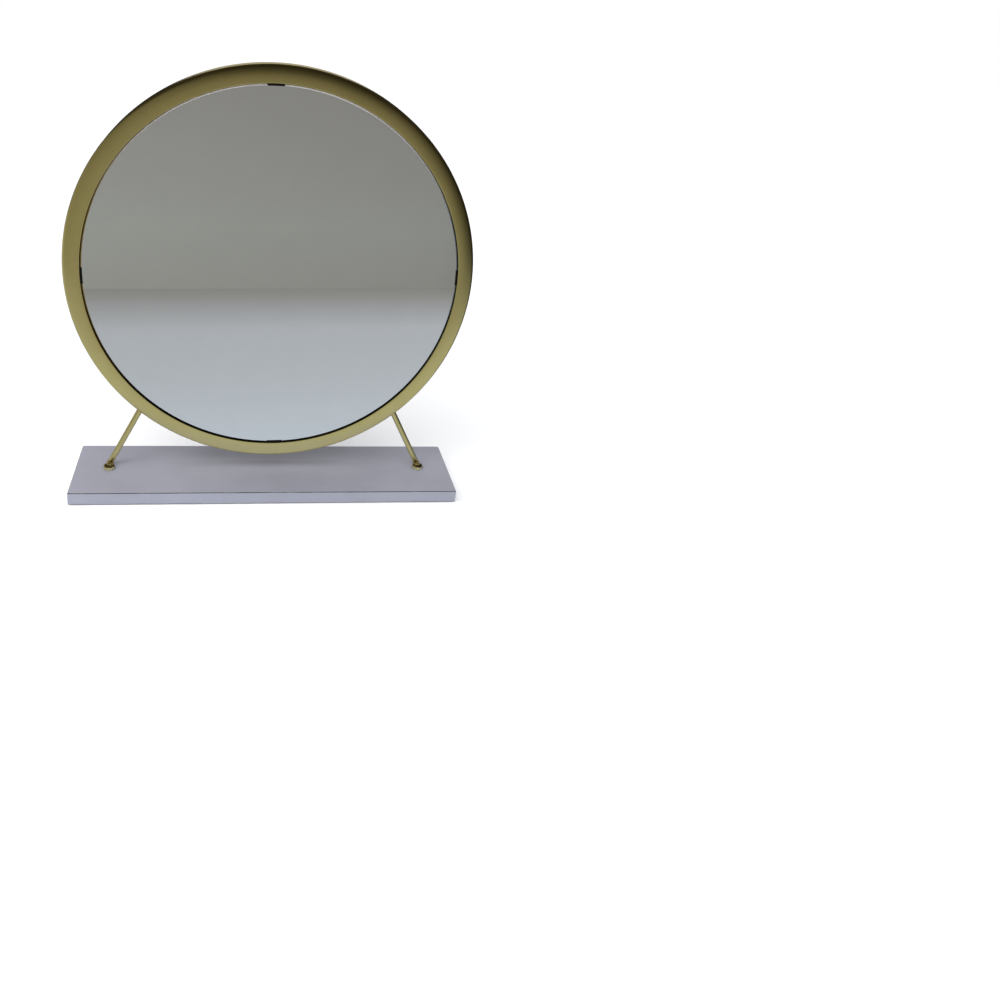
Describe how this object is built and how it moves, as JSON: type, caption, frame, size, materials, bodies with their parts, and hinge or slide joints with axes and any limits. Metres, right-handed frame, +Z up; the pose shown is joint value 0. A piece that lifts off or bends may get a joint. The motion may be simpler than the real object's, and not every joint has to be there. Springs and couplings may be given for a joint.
{
  "type": "table-top mirror",
  "caption": "Round table-top vanity mirror in a pale gold ring frame, held on slanting rods over a low white board that stands on a dressing table.",
  "frame": {"origin": "on the floor under the middle of the board, at the centre of the pads' underside", "axes": "+X to the right seen from the front, +Y to the back, so the mirror faces -Y, +Z up"},
  "size_m": [0.4076, 0.1, 0.4366],
  "materials": {
    "fibreboard": "raw medium-density fibreboard, fine even fibres",
    "white_laminate": "white melamine sheet, low sheen",
    "white_laminate_under": "white balancing sheet, matt",
    "white_edging": "white plastic edging, low sheen, worn at its corners",
    "foam_pad": "dark grey foamed rubber",
    "insert_brass": "turned brass",
    "gold_satin": "pale gold lacquer over steel, satin",
    "gold_polished": "brass-plated steel, polished",
    "clear_glass": "clear float glass with a ground edge",
    "silvering": "silvered coat under grey protective paint",
    "foam_tape": "white double-sided foam tape",
    "panel_board": "thin fibreboard painted matt black on its back",
    "zinc_steel": "zinc-plated screws",
    "bare_steel": "plain steel, machined",
    "black_clip": "moulded black plastic",
    "black_steel": "blackened steel"
  },
  "bodies": {
    "root": {"base_core": "fibreboard", "base_top_laminate": "white_laminate", "base_bottom_laminate": "white_laminate_under", "front_edge_band": "white_edging", "rear_edge_band": "white_edging", "left_edge_band": "white_edging", "right_edge_band": "white_edging", "base_pads": "foam_pad", "threaded_inserts": "insert_brass", "mirror_frame": "gold_satin", "mirror_glass": "clear_glass", "mirror_silvering": "silvering", "glass_tape_strips": "foam_tape", "back_panel": "panel_board", "panel_screws": "zinc_steel", "top_clip": "black_clip", "right_clip": "black_clip", "bottom_clip": "black_clip", "left_clip": "black_clip", "right_leg_rod": "gold_satin", "left_leg_rod": "gold_satin", "right_leg_block": "bare_steel", "left_leg_block": "bare_steel", "leg_grub_screws": "black_steel", "foot_screws": "gold_polished"}
  },
  "joints": []
}
